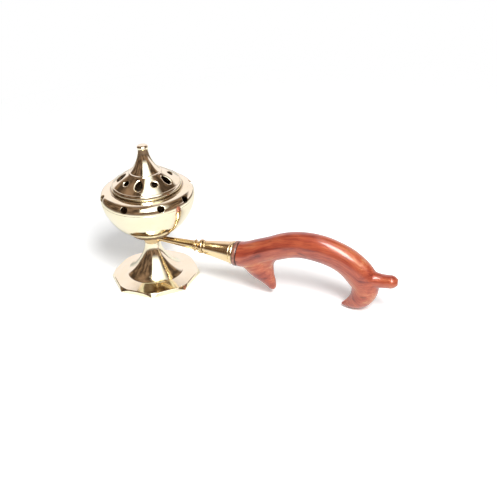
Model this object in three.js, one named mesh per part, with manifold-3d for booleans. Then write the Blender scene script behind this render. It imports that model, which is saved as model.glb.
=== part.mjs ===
// Hand censer: a turned brass incense burner on an eight-sided foot, held by a carved wooden grip.
// Millimetres, +Z up. While the pieces are made, the Z axis is the vessel's axis, the floor is z = 0
// and the handle runs towards +X. The finished group stands on the floor with the origin under the
// middle of its bounding box.

import * as THREE from 'three';
import { mergeVertices } from 'three/addons/utils/BufferGeometryUtils.js';
import Module from 'manifold-3d';

const wasm = await Module();
wasm.setup();

// Driving dimensions of the vessel
const footCornerRadius = 37;
const footTurnDegrees = -2.2;
const flangeEdgeHeight = 3.5;
const flangeRimHeight = 5.8;
const bellRadius = 23.5;
const neckRadius = 6.4;
const neckHeight = 33;
const eyeThickness = 6;
const saucerHeight = 6;
const saucerRadius = 17.5;
const bowlBaseRadius = 16.5;
const bowlRadius = 37.5;
const bowlDepth = 29.5;
const shoulderHeight = 8;
const bowlWall = 1.8;
const shoulderWidth = 11.7;
const lipWidth = 3.6;
const lidRimHeight = 4.6;
const lidRimInset = 0.8;
const lidConeWidth = 12.2;
const lidConeHeight = 8.8;
const spireHeight = 18.8;
const spireNeckRadius = 4;
const knobRadius = 4.5;
const knobHeight = 3.6;
const lidWall = 1.6;

// Driving dimensions of the handle
const handleDropDegrees = 2.5;
const rodRootRadius = 1.8;
const rodEndRadius = 3.8;
const rodLength = 38;
const ringRadius = 4.8;
const ringLength = 1.6;
const coveRadius = 3.6;
const coveLength = 2.6;
const beadRadius = 5.7;
const beadLength = 3.6;
const ferruleLength = 26.3;
const ferruleStartRadius = 5.3;
const ferruleEndRadius = 8.7;
const collarRadius = 10.3;
const collarLength = 3.3;
const gripLength = 127.2;

// Clearances and the overrun of every cut
const boreClearance = 0.4;
const seatGap = 0.3;
const hookFloorGap = 0.8;
const overrun = 2;

// Vents: eight round ones in the shoulder, marked out by eye, and ten in the lid,
// where long and round ones take turns
const shoulderVentRadius = 3;
const shoulderVentTurnShares = [0.108, 0.23, 0.33, 0.426, 0.608, 0.741, 0.869, 0.972];
const lidVentCount = 10;
const lidVentStartShare = 0.78;
const lidRoundVentRadius = 2.5;
const lidLongVentWidth = 5.2;
const lidLongVentLength = 9.2;

// Steps round a turned piece, and along each of its curves
const vesselSteps = 40;
const handleSteps = 28;
const pinSteps = 24;
const ventSteps = 14;
const curveSteps = 5;
const smallCurveSteps = 4;

// Vertices nearer than this are one vertex
const weldGap = 1e-4;

const brass = { color: 0xd9bf7c, roughness: 0.16, metalness: 1 };
const goldBrass = { color: 0xc9a452, roughness: 0.24, metalness: 1 };
const steel = { color: 0xb8b8b4, roughness: 0.35, metalness: 1 };
const darkWood = { color: 0x5a1f1c, roughness: 0.3, metalness: 0 };
const roseWood = { color: 0xb5512f, roughness: 0.28, metalness: 0 };

// Heights that stack up along the vessel's axis
const eyeTop = neckHeight + eyeThickness;
const saucerTop = eyeTop + saucerHeight;
const equatorHeight = saucerTop + bowlDepth;
const lipHeight = equatorHeight + shoulderHeight;
const coneBase = lipHeight + lidRimHeight;
const coneTop = coneBase + lidConeHeight;
const spireTop = coneTop + spireHeight;

// The mouth is set out from the bowl's widest line, and the lip and the lid's cone from the mouth
const mouthRadius = bowlRadius - shoulderWidth;
const lipRadius = mouthRadius + lipWidth;
const lidConeBaseRadius = mouthRadius - lidRimInset;
const lidConeTopRadius = lidConeBaseRadius - lidConeWidth;

// Clamp screw: it runs from the bowl's floor through the saucer and the shank's eye into the neck
const screwRadius = 2.4;
const threadLength = 14;
const washerThickness = 1;
const bowlFloor = 2.4;
const eyeProud = 0.4;
const boreRadius = screwRadius + boreClearance;
const eyeRadius = neckRadius + eyeProud;
const threadEnd = neckHeight - threadLength;
const bowlFloorTop = saucerTop + bowlFloor;
const washerTop = bowlFloorTop + washerThickness;

const mix = THREE.MathUtils.lerp;
const parts = new THREE.Group();

// Signed volume of a closed mesh, positive when its faces point out
function signedVolume(geometry) {
  const place = geometry.attributes.position;
  const index = geometry.index;
  const [a, b, c] = [new THREE.Vector3(), new THREE.Vector3(), new THREE.Vector3()];
  let sum = 0;
  for (let i = 0; i < index.count; i += 3) {
    a.fromBufferAttribute(place, index.getX(i));
    b.fromBufferAttribute(place, index.getX(i + 1));
    c.fromBufferAttribute(place, index.getX(i + 2));
    sum += a.dot(b.cross(c));
  }
  return sum / 6;
}

// A closed mesh as a solid, with shared vertices merged and its faces turned outwards
function solidOf(geometry) {
  const bare = geometry.clone();
  bare.deleteAttribute('normal');
  bare.deleteAttribute('uv');
  const merged = mergeVertices(bare, weldGap);
  const corners = merged.index.array;
  const kept = [];
  for (let i = 0; i < corners.length; i += 3) {
    const [p, q, r] = [corners[i], corners[i + 1], corners[i + 2]];
    if (p !== q && q !== r && r !== p) kept.push(p, q, r);
  }
  merged.setIndex(kept);
  if (signedVolume(merged) < 0) {
    merged.setIndex(kept.reverse());
  }
  return new wasm.Manifold(new wasm.Mesh({
    numProp: 3,
    vertProperties: new Float32Array(merged.attributes.position.array),
    triVerts: new Uint32Array(merged.index.array),
  }));
}

// A solid's vertices and triangles as a mesh geometry
function geometryOf(solid) {
  const mesh = solid.getMesh();
  const geometry = new THREE.BufferGeometry();
  geometry.setAttribute('position', new THREE.BufferAttribute(mesh.vertProperties, 3));
  geometry.setIndex(new THREE.BufferAttribute(mesh.triVerts, 1));
  geometry.computeVertexNormals();
  return geometry;
}

function addPiece(name, solid, look) {
  const mesh = new THREE.Mesh(geometryOf(solid), new THREE.MeshStandardMaterial(look));
  mesh.name = name;
  parts.add(mesh);
}

function profileFrom(radius, height) {
  return new THREE.Path().moveTo(radius, height);
}

// A profile of (radius, height) points turned about the Z axis
function turned(profile, steps, perCurve = curveSteps) {
  return new THREE.LatheGeometry(profile.getPoints(perCurve), steps).rotateX(Math.PI / 2);
}

function pin(radius, bottom, top, sides = pinSteps) {
  const body = new THREE.CylinderGeometry(radius, radius, top - bottom, sides);
  return body.rotateX(Math.PI / 2).translate(0, 0, (top + bottom) / 2);
}

// Cuts that stand square to a turned surface: at a point of its outline, one for each turn share
function cutsAround(cut, point, slope, turnShares) {
  const lean = Math.atan2(slope.y, -slope.x);
  return turnShares.map((share) => {
    const tool = cut.clone();
    tool.rotateY(lean).translate(point.x, 0, point.y);
    return solidOf(tool.rotateZ(share * 2 * Math.PI));
  });
}

// Foot: a cast bell with a tapped neck, hollow underneath
function makeFoot() {
  const chamferInset = 2.2;
  const plainEdge = 0.4;
  const ringWidth = 6.5;
  const ringHeight = 1.1;
  const bellWall = 2.4;
  const bossWall = 0.8;
  const faces = 8;
  const neckHandleShares = [0.02, 0.33];
  const flangeHandleShares = [0.44, 0.19];
  const hollowTopHandleShares = [0.26, 0.02];
  const hollowFootHandleShares = [0.42, 0.3];
  const bellRise = neckHeight - flangeRimHeight;
  const bellReach = bellRadius - neckRadius;
  const ringInner = footCornerRadius - ringWidth;
  const hollowTopRadius = boreRadius + bossWall;
  const hollowFoot = flangeRimHeight - bellWall;
  const hollowRise = threadEnd - hollowFoot;
  const hollowReach = bellRadius - hollowTopRadius;

  const profile = profileFrom(boreRadius, neckHeight);
  profile.lineTo(neckRadius, neckHeight);
  profile.bezierCurveTo(
    neckRadius + bellReach * neckHandleShares[0], neckHeight - bellRise * neckHandleShares[1],
    neckRadius + bellReach * flangeHandleShares[0], flangeRimHeight + bellRise * flangeHandleShares[1],
    bellRadius, flangeRimHeight);
  profile.lineTo(footCornerRadius - chamferInset, flangeEdgeHeight);
  profile.lineTo(footCornerRadius, plainEdge);
  profile.lineTo(footCornerRadius, 0);
  profile.lineTo(ringInner, 0);
  profile.lineTo(ringInner, ringHeight);
  profile.lineTo(bellRadius, hollowFoot);
  profile.bezierCurveTo(
    bellRadius - hollowReach * hollowFootHandleShares[0],
    hollowFoot + hollowRise * hollowFootHandleShares[1],
    hollowTopRadius + hollowReach * hollowTopHandleShares[0],
    threadEnd - hollowRise * hollowTopHandleShares[1],
    hollowTopRadius, threadEnd);
  profile.lineTo(boreRadius, threadEnd);
  profile.lineTo(boreRadius, neckHeight);

  // The turned flange is sawn to eight flats, so the turned edge is left only at the corners
  const flatsHeight = neckHeight + 2 * overrun;
  const flats = new THREE.CylinderGeometry(footCornerRadius, footCornerRadius, flatsHeight, faces);
  const turn = THREE.MathUtils.degToRad(footTurnDegrees) + Math.PI / faces;
  flats.rotateX(Math.PI / 2).rotateZ(turn + Math.PI / 2).translate(0, 0, neckHeight / 2);
  return solidOf(turned(profile, vesselSteps)).intersect(solidOf(flats));
}

// Saucer: the dished disc between the shank's eye and the bowl
function makeSaucer() {
  const hubStep = 0.2;
  const rimEdge = 2.4;
  const rimRound = 0.4;
  const profile = profileFrom(boreRadius, eyeTop);
  profile.lineTo(eyeRadius + hubStep, eyeTop);
  profile.lineTo(saucerRadius, saucerTop - rimEdge);
  profile.lineTo(saucerRadius, saucerTop - rimRound);
  profile.lineTo(saucerRadius - rimRound, saucerTop);
  profile.lineTo(boreRadius, saucerTop);
  profile.lineTo(boreRadius, eyeTop);
  return solidOf(turned(profile, vesselSteps));
}

function makeBowl() {
  const baseHandleShares = [0.45, 0.1];
  const rimHandleShare = 0.64;
  const reach = bowlRadius - bowlBaseRadius;
  const innerBase = bowlBaseRadius - bowlWall;
  const innerRise = bowlDepth - bowlFloor;
  const profile = profileFrom(boreRadius, saucerTop);
  profile.lineTo(bowlBaseRadius, saucerTop);
  profile.bezierCurveTo(
    bowlBaseRadius + reach * baseHandleShares[0], saucerTop + bowlDepth * baseHandleShares[1],
    bowlRadius, saucerTop + bowlDepth * rimHandleShare,
    bowlRadius, equatorHeight);
  profile.lineTo(bowlRadius - bowlWall, equatorHeight);
  profile.bezierCurveTo(
    bowlRadius - bowlWall, bowlFloorTop + innerRise * rimHandleShare,
    innerBase + reach * baseHandleShares[0], bowlFloorTop + innerRise * baseHandleShares[1],
    innerBase, bowlFloorTop);
  profile.lineTo(boreRadius, bowlFloorTop);
  profile.lineTo(boreRadius, saucerTop);
  return solidOf(turned(profile, vesselSteps));
}

// Shoulder: the pierced ring over the bowl, a steep wall that turns in tightly to a nearly flat top
function makeShoulder() {
  const lipEdge = 0.6;
  const lipRound = 0.8;
  const equatorHandleShare = 0.74;
  const lipHandleShares = [0.9, 0.94];
  const innerHandleShare = 0.18;
  const ventPlaceShare = 0.34;
  const innerRadius = bowlRadius - bowlWall;
  const outer = new THREE.CubicBezierCurve(
    new THREE.Vector2(bowlRadius, equatorHeight),
    new THREE.Vector2(bowlRadius, mix(equatorHeight, lipHeight, equatorHandleShare)),
    new THREE.Vector2(
      mix(lipRadius, bowlRadius, lipHandleShares[0]), mix(equatorHeight, lipHeight, lipHandleShares[1])),
    new THREE.Vector2(lipRadius, lipHeight - lipEdge));
  const profile = profileFrom(innerRadius, equatorHeight);
  profile.lineTo(bowlRadius, equatorHeight);
  profile.bezierCurveTo(outer.v1.x, outer.v1.y, outer.v2.x, outer.v2.y, outer.v3.x, outer.v3.y);
  profile.quadraticCurveTo(lipRadius, lipHeight, lipRadius - lipRound, lipHeight);
  profile.lineTo(mouthRadius, lipHeight);
  profile.lineTo(mouthRadius, lipHeight - bowlWall);
  profile.bezierCurveTo(
    outer.v3.x, outer.v3.y - bowlWall,
    outer.v2.x - bowlWall / 2, outer.v2.y - bowlWall,
    innerRadius, mix(equatorHeight, lipHeight, innerHandleShare));
  profile.lineTo(innerRadius, equatorHeight);
  let shell = solidOf(turned(profile, vesselSteps));

  // The drill leans so little that it runs on under the top, and it goes deep enough to come clear
  const depth = 4 * (bowlWall + overrun);
  const drill = pin(shoulderVentRadius, -depth / 2, depth / 2, ventSteps);
  const place = outer.getPoint(ventPlaceShare);
  const slope = outer.getTangent(ventPlaceShare);
  for (const cut of cutsAround(drill, place, slope, shoulderVentTurnShares)) {
    shell = shell.subtract(cut);
  }
  return shell;
}

// Lid: knob, spire, pierced cone, rolled rim and the spigot that drops into the mouth, in one casting
function makeLid() {
  const rimBulge = 2.1;
  const rimStep = 0.4;
  const rimTopShare = 1.2;
  const rimFootShares = [1.3, 0.1];
  const rimSeatShare = 0.7;
  const spigotDepth = 3;
  const spigotWall = 1.4;
  const grooveDepth = 0.45;
  const coneSwell = 0.7;
  const knobTopShare = 0.55;
  const knobUpperShare = 0.8;
  const knobUnderShare = 0.15;
  const spireTopHandleShares = [0.02, 0.42];
  const spireFootHandleShares = [0.48, 0.22];
  const spireHollowShare = 0.4;
  const spigotRadius = mouthRadius - boreClearance;
  const spireFootRadius = lidConeTopRadius - grooveDepth;
  const spireReach = spireFootRadius - spireNeckRadius;
  const middle = new THREE.Vector2((lidConeTopRadius + lidConeBaseRadius) / 2, (coneTop + coneBase) / 2);
  const rise = new THREE.Vector2(lidConeTopRadius - lidConeBaseRadius, lidConeHeight).normalize();

  const profile = profileFrom(0, spireTop + knobHeight);
  profile.bezierCurveTo(
    knobRadius * knobTopShare, spireTop + knobHeight,
    knobRadius, spireTop + knobHeight * knobUpperShare,
    knobRadius, spireTop + knobHeight * knobTopShare);
  profile.quadraticCurveTo(knobRadius, spireTop + knobHeight * knobUnderShare, spireNeckRadius, spireTop);
  profile.bezierCurveTo(
    spireNeckRadius + spireReach * spireTopHandleShares[0],
    spireTop - spireHeight * spireTopHandleShares[1],
    spireNeckRadius + spireReach * spireFootHandleShares[0],
    coneTop + spireHeight * spireFootHandleShares[1],
    spireFootRadius, coneTop + grooveDepth);
  profile.lineTo(spireFootRadius, coneTop);
  profile.lineTo(lidConeTopRadius, coneTop);
  profile.quadraticCurveTo(middle.x + coneSwell, middle.y + coneSwell, lidConeBaseRadius, coneBase);
  profile.lineTo(lidConeBaseRadius, coneBase - rimStep);
  profile.bezierCurveTo(
    lidConeBaseRadius + rimBulge * rimTopShare, coneBase - rimStep,
    lidConeBaseRadius + rimBulge * rimFootShares[0], lipHeight + lidRimHeight * rimFootShares[1],
    lidConeBaseRadius + rimBulge * rimSeatShare, lipHeight);
  profile.lineTo(spigotRadius, lipHeight);
  profile.lineTo(spigotRadius, lipHeight - spigotDepth);
  profile.lineTo(spigotRadius - spigotWall, lipHeight - spigotDepth);
  profile.lineTo(lidConeBaseRadius - lidWall, coneBase - lidWall);
  profile.lineTo(lidConeTopRadius - lidWall, coneTop - lidWall);
  profile.quadraticCurveTo(spireNeckRadius, coneTop + lidWall, 0, coneTop + spireHeight * spireHollowShare);
  let shell = solidOf(turned(profile, vesselSteps, smallCurveSteps));

  const depth = 2 * (lidWall + overrun);
  const roundCut = pin(lidRoundVentRadius, -depth / 2, depth / 2, ventSteps);
  const oval = new THREE.Shape();
  oval.absellipse(0, 0, lidLongVentLength / 2, lidLongVentWidth / 2, 0, 2 * Math.PI);
  const curveSegments = ventSteps / 2;
  const longCut = new THREE.ExtrudeGeometry(oval, { depth, bevelEnabled: false, curveSegments });
  longCut.translate(0, 0, -depth / 2);
  const turnShares = Array.from({ length: lidVentCount }, (_, i) => lidVentStartShare + i / lidVentCount);
  const longShares = turnShares.filter((_, i) => i % 2 === 0);
  const roundShares = turnShares.filter((_, i) => i % 2 === 1);
  const longCuts = cutsAround(longCut, middle, rise, longShares);
  const roundCuts = cutsAround(roundCut, middle, rise, roundShares);
  for (const cut of [...longCuts, ...roundCuts]) {
    shell = shell.subtract(cut);
  }
  return shell;
}

function makeScrew() {
  const headRadius = 4.8;
  const headHeight = 2.6;
  const slotWidth = 1.2;
  const slotDepth = 1.1;
  const headRoundShare = 0.7;
  const headTop = washerTop + headHeight;
  const profile = profileFrom(0, threadEnd);
  profile.lineTo(screwRadius, threadEnd);
  profile.lineTo(screwRadius, washerTop);
  profile.lineTo(headRadius, washerTop);
  profile.bezierCurveTo(
    headRadius, mix(washerTop, headTop, headRoundShare), headRadius * headRoundShare, headTop, 0, headTop);
  const slot = new THREE.BoxGeometry(2 * (headRadius + overrun), slotWidth, 2 * slotDepth);
  slot.translate(0, 0, headTop);
  return solidOf(turned(profile, pinSteps)).subtract(solidOf(slot));
}

function makeWasher() {
  const washerRadius = 7.2;
  const disc = solidOf(pin(washerRadius, bowlFloorTop, washerTop, handleSteps));
  const hole = solidOf(pin(boreRadius, bowlFloorTop - overrun, washerTop + overrun));
  return disc.subtract(hole);
}

// Places along the handle's own axis, measured from the vessel's axis
const ringEnd = rodLength + ringLength;
const beadStart = ringEnd + coveLength;
const beadEnd = beadStart + beadLength;
const ferruleStart = beadEnd + seatGap;
const ferruleEnd = ferruleStart + ferruleLength;
const collarStart = ferruleEnd + seatGap;
const collarEnd = collarStart + collarLength;
const gripStart = collarEnd + seatGap;

// Inside the handle: the shank's tang runs up the grip, whose tapered tenon fills the ferrule
const tangRadius = 2.2;
const tangReach = 26;
const ferruleWall = 1.6;
const ferruleFloor = 6;
const socketStart = ferruleStart + ferruleFloor;
const socketRadius = ferruleEndRadius - ferruleWall;
const floorRadius = mix(ferruleStartRadius, ferruleEndRadius, ferruleFloor / ferruleLength);
const socketTipRadius = floorRadius - ferruleWall;
const tangBoreRadius = tangRadius + boreClearance;

// The handle leaves the shank's eye and falls a little on its way out
const rodHeightShare = 0.57;
const handleFrame = new THREE.Matrix4()
  .makeRotationY(Math.PI / 2 + THREE.MathUtils.degToRad(handleDropDegrees))
  .setPosition(0, 0, neckHeight + eyeThickness * rodHeightShare);

function onHandle(geometry) {
  return solidOf(geometry.applyMatrix4(handleFrame));
}

// Shank: a clamp eye and a turned rod with a ring and a bead, in one piece with the tang
function makeShank() {
  const beadStartShare = 0.5;
  const beadEndShare = 0.7;
  const beadSwellShare = 1.08;
  const profile = profileFrom(0, 0);
  profile.lineTo(rodRootRadius, 0);
  profile.lineTo(rodEndRadius, rodLength);
  profile.quadraticCurveTo(ringRadius, rodLength, ringRadius, rodLength + ringLength / 2);
  profile.quadraticCurveTo(ringRadius, ringEnd, coveRadius, ringEnd);
  profile.quadraticCurveTo(coveRadius, beadStart, mix(coveRadius, beadRadius, beadStartShare), beadStart);
  profile.bezierCurveTo(
    beadRadius * beadSwellShare, beadStart,
    beadRadius * beadSwellShare, beadEnd,
    mix(coveRadius, beadRadius, beadEndShare), beadEnd);
  profile.lineTo(tangRadius, beadEnd);
  profile.lineTo(tangRadius, gripStart + tangReach);
  profile.lineTo(0, gripStart + tangReach);
  const eye = solidOf(pin(eyeRadius, neckHeight, eyeTop, vesselSteps));
  const bore = solidOf(pin(boreRadius, neckHeight - overrun, eyeTop + overrun));
  return eye.add(onHandle(turned(profile, pinSteps, smallCurveSteps))).subtract(bore);
}

function makeFerrule() {
  const rimLength = 3;
  const rimProud = 0.8;
  const profile = profileFrom(tangBoreRadius, ferruleStart);
  profile.lineTo(ferruleStartRadius, ferruleStart);
  profile.lineTo(ferruleEndRadius, ferruleEnd - rimLength);
  profile.bezierCurveTo(
    ferruleEndRadius + rimProud, ferruleEnd - rimLength,
    ferruleEndRadius + rimProud, ferruleEnd,
    ferruleEndRadius, ferruleEnd);
  profile.lineTo(socketRadius, ferruleEnd);
  profile.lineTo(socketTipRadius, socketStart);
  profile.lineTo(tangBoreRadius, socketStart);
  profile.lineTo(tangBoreRadius, ferruleStart);
  return onHandle(turned(profile, handleSteps, smallCurveSteps));
}

function makeCollar() {
  const round = 0.9;
  const profile = profileFrom(socketRadius, collarStart);
  profile.lineTo(collarRadius - round, collarStart);
  profile.quadraticCurveTo(collarRadius, collarStart, collarRadius, collarStart + round);
  profile.lineTo(collarRadius, collarEnd - round);
  profile.quadraticCurveTo(collarRadius, collarEnd, collarRadius - round, collarEnd);
  profile.lineTo(socketRadius, collarEnd);
  profile.lineTo(socketRadius, collarStart);
  return onHandle(turned(profile, handleSteps, smallCurveSteps));
}

// Carved grip: oval sections along spines that lie in the handle's upright plane.
// It starts a step inside the collar, and its hook ends just above the floor.
const collarStep = 0.7;
const gripRadius = collarRadius - collarStep;
const gripOrigin = new THREE.Vector3(0, 0, gripStart).applyMatrix4(handleFrame);
const gripDropShare = 0.545;
const gripHeight = (gripOrigin.z - hookFloorGap) / gripDropShare;

// Each station is a share of the grip's length along and of its height up from the collar's middle,
// then a half height and a half thickness as shares of the grip's radius
const archShares = [
  [0, 0, 1.06, 1.06], [0.055, 0.013, 1.1, 1.02], [0.135, 0.087, 1.05, 0.97],
  [0.215, 0.155, 1.04, 0.94], [0.3, 0.229, 1.07, 0.94], [0.395, 0.275, 1.09, 0.94],
  [0.48, 0.275, 1.135, 0.94], [0.552, 0.251, 1.15, 0.94], [0.622, 0.205, 1.14, 0.94],
  [0.682, 0.143, 1.17, 0.94], [0.733, 0.058, 1.21, 0.92], [0.776, -0.043, 1.24, 0.88],
  [0.802, -0.161, 1.18, 0.84], [0.798, -0.283, 1.05, 0.78], [0.772, -0.387, 0.9, 0.7],
  [0.737, -0.451, 0.65, 0.56], [0.698, -0.491, 0.345, 0.34], [0.658, -0.521, 0.075, 0.1]];
const spurShares = [
  [0.102, -0.075, 1.2, 0.9], [0.126, -0.183, 1.11, 0.8], [0.158, -0.283, 0.875, 0.66],
  [0.181, -0.365, 0.69, 0.52], [0.197, -0.421, 0.505, 0.4], [0.208, -0.459, 0.345, 0.27],
  [0.212, -0.483, 0.16, 0.12]];
const knobShares = [
  [0.8, -0.085, 0.76, 0.7], [0.85, -0.079, 0.63, 0.6], [0.895, -0.073, 0.515, 0.54],
  [0.945, -0.063, 0.47, 0.48], [0.982, -0.055, 0.37, 0.38], [1, -0.051, 0.16, 0.18]];

// The first section lies flat against what is in front of it where a first direction is given
function swept(shares, ringSteps, spineSteps, firstDirection) {
  const spine = new THREE.CatmullRomCurve3(shares.map(([along, up]) => new THREE.Vector3(
    gripOrigin.x + along * gripLength, 0, gripOrigin.z + up * gripHeight)));
  const widths = new THREE.CatmullRomCurve3(shares.map(([, , high, thick]) => new THREE.Vector3(
    high * gripRadius, thick * gripRadius, 0)));
  const points = [];
  for (let i = 0; i <= spineSteps; i += 1) {
    const share = i / spineSteps;
    const middle = spine.getPoint(share);
    const along = i === 0 && firstDirection ? firstDirection : spine.getTangent(share);
    const width = widths.getPoint(share);
    for (let j = 0; j < ringSteps; j += 1) {
      const turn = (j / ringSteps) * 2 * Math.PI;
      const high = width.x * Math.cos(turn);
      points.push(middle.x - along.z * high, width.y * Math.sin(turn), middle.z + along.x * high);
    }
  }
  const index = [];
  for (let i = 0; i < spineSteps; i += 1) {
    for (let j = 0; j < ringSteps; j += 1) {
      const a = i * ringSteps + j;
      const b = i * ringSteps + ((j + 1) % ringSteps);
      index.push(a, b, a + ringSteps, b, b + ringSteps, a + ringSteps);
    }
  }
  const last = spineSteps * ringSteps;
  for (let j = 1; j < ringSteps - 1; j += 1) {
    index.push(0, j + 1, j, last, last + j, last + j + 1);
  }
  const geometry = new THREE.BufferGeometry();
  geometry.setAttribute('position', new THREE.Float32BufferAttribute(points, 3));
  geometry.setIndex(index);
  return solidOf(geometry);
}

function makeGrip() {
  const handleDirection = new THREE.Vector3(0, 0, 1).transformDirection(handleFrame);
  const arch = swept(archShares, 18, 38, handleDirection);
  const spur = swept(spurShares, 14, 11);
  const knob = swept(knobShares, 14, 9);
  const tenonTip = socketStart + seatGap;
  const profile = profileFrom(0, tenonTip);
  profile.lineTo(socketTipRadius - boreClearance, tenonTip);
  profile.lineTo(socketRadius - boreClearance, ferruleEnd);
  profile.lineTo(socketRadius - boreClearance, gripStart + overrun);
  profile.lineTo(0, gripStart + overrun);
  const tenon = onHandle(turned(profile, pinSteps));
  const tangBore = pin(tangBoreRadius, tenonTip - overrun, gripStart + tangReach + boreClearance);
  return arch.add(spur).add(knob).add(tenon).subtract(onHandle(tangBore));
}

addPiece('foot', makeFoot(), brass);
addPiece('shank', makeShank(), goldBrass);
addPiece('saucer', makeSaucer(), brass);
addPiece('bowl', makeBowl(), brass);
addPiece('bowl_shoulder', makeShoulder(), brass);
addPiece('lid', makeLid(), brass);
addPiece('clamp_washer', makeWasher(), steel);
addPiece('clamp_screw', makeScrew(), steel);
addPiece('ferrule', makeFerrule(), goldBrass);
addPiece('collar', makeCollar(), darkWood);
addPiece('grip', makeGrip(), roseWood);

// Stand the censer on the floor with the origin under the middle of its bounding box
const bounds = new THREE.Box3().setFromObject(parts);
const centre = bounds.getCenter(new THREE.Vector3());
parts.position.set(-centre.x, -centre.y, -bounds.min.z);

const censer = new THREE.Group();
censer.add(parts);

export default censer;
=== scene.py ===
# %% [markdown]
# A hand censer: a turned brass burner on an eight-sided foot, with a carved wooden grip.
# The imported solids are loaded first, as a frame that never moves. They are faceted, because they
# are made for fitting and for physics. Polished metal shows every facet, so each piece is made
# again here as a fine surface in the same place, and then gets a finish of its own.

# %% Load the frame
import math
import bmesh
import bpy
import numpy as np
from mathutils import Matrix, Vector


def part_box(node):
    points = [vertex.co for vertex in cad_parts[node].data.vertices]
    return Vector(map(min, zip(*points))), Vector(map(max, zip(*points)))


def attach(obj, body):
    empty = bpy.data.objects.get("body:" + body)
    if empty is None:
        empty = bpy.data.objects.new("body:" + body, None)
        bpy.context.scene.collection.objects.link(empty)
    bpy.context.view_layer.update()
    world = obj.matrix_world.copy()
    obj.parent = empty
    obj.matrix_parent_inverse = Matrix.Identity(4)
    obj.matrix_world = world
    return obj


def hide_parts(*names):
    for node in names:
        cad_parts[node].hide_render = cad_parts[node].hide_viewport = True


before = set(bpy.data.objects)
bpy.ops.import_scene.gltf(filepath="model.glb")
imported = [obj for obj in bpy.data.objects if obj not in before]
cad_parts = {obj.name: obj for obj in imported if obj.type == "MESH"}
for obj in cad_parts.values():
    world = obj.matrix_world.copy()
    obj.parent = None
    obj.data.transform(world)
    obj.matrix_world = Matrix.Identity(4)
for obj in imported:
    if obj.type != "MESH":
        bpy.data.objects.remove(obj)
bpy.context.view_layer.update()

# %% [markdown]
# The vessel's pieces share one upright axis and a few heights, which are read from the frame. The
# sizes of single pieces stand beside the piece that has them. All are millimetres, so that they
# read well, and become metres where a mesh is made.

# %% Heights and radii that the frame gives
MM = 0.001


def lowest(node):
    """The height of a solid's lowest point, in millimetres."""
    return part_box(node)[0][2] / MM


def highest(node):
    """The height of a solid's highest point, in millimetres."""
    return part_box(node)[1][2] / MM


bowl_left, bowl_right = [corner[0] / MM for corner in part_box("bowl")]
axis_x = (bowl_left + bowl_right) / 2
bowl_radius = (bowl_right - bowl_left) / 2
neck_height = highest("foot")
saucer_base = lowest("saucer")
saucer_top = lowest("bowl")
bowl_floor = lowest("clamp_washer")
washer_top = highest("clamp_washer")
screw_end = lowest("clamp_screw")
screw_top = highest("clamp_screw")
equator = highest("bowl")
spigot_end = lowest("lid")
lip_height = highest("bowl_shoulder")
lid_top = highest("lid")
print("vessel's axis at x =", round(axis_x, 2), "mm, bowl radius", round(bowl_radius, 2), "mm")

# %% [markdown]
# A turned piece is its outline carried round an axis. An outline is a list of corners, some of
# them sampled from curves. Real turned brass has no knife edges: each corner is broken by a small
# round, and those rounds catch the light. So the corners are given first, and one function rounds
# the ones that need it.

# %% Curves and rounded outlines
def bezier(*handles, steps=28):
    """Points of a curve: the sum of its handles, each weighted by its Bernstein term."""
    share = np.linspace(0, 1, steps + 1)[:, None]
    last = len(handles) - 1
    return sum(
        math.comb(last, k) * (1 - share) ** (last - k) * share**k * np.array(handle, float)
        for k, handle in enumerate(handles)
    )


def rounded(corners, rounds, closed=True, steps=5):
    """The outline with its corners eased. A corner of round d becomes the parabola from the point d
    before it to the point d after it, or nearer where a side is short. Corners may hold one point
    for each angle, as (corner, angle, 2)."""
    corners = np.array(corners, float)
    rounds = np.array(rounds, float)
    back = np.roll(corners, 1, axis=0) - corners
    ahead = np.roll(corners, -1, axis=0) - corners
    back_length = np.linalg.norm(back, axis=-1, keepdims=True) + 1e-9
    ahead_length = np.linalg.norm(ahead, axis=-1, keepdims=True) + 1e-9
    wanted = rounds.reshape((-1,) + (1,) * (corners.ndim - 1))
    reach = np.minimum(wanted, 0.45 * np.minimum(back_length, ahead_length))
    if not closed:
        reach[[0, -1]] = 0
    start = corners + back / back_length * reach
    end = corners + ahead / ahead_length * reach
    share = np.linspace(0, 1, steps + 1).reshape((1, -1) + (1,) * (corners.ndim - 1))
    arcs = (1 - share) ** 2 * start[:, None] + 2 * share * (1 - share) * corners[:, None]
    arcs = arcs + share**2 * end[:, None]
    kept = (rounds[:, None] > 0) | (np.arange(steps + 1)[None] == 0)
    return arcs[kept]


def outline(*runs, closed=True):
    """Corners and curves in one list. A corner is (radius, height, round), a curve an array."""
    points = []
    rounds = []
    for run in runs:
        if isinstance(run, tuple):
            points.append(np.array([run[:2]], float))
            rounds.append([run[2]])
        else:
            points.append(run)
            rounds.append(np.zeros(len(run)))
    return rounded(np.concatenate(points), np.concatenate(rounds), closed)


print("a quarter curve has", len(bezier((0, 0), (0, 1), (1, 1))), "points")

# %% Surfaces on a grid, and pieces made of them
def lathe(profile, angles):
    """Points (row, angle, 3): radius times the cosine and sine of the angle, and the height."""
    if profile.ndim == 2:
        profile = profile[:, None]
    radius = profile[..., 0] + 0 * angles
    height = profile[..., 1] + 0 * angles
    return np.stack([radius * np.cos(angles), radius * np.sin(angles), height], axis=-1)


def grid_faces(rows, columns, close_rows, close_columns):
    """Four-sided faces between neighbours of a grid, with either direction closed on itself."""
    index = np.arange(rows * columns).reshape(rows, columns)
    if close_rows:
        index = np.concatenate([index, index[:1]])
    if close_columns:
        index = np.concatenate([index, index[:, :1]], axis=1)
    quads = [index[:-1, :-1], index[:-1, 1:], index[1:, 1:], index[1:, :-1]]
    return np.stack(quads, axis=-1).reshape(-1, 4)


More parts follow.
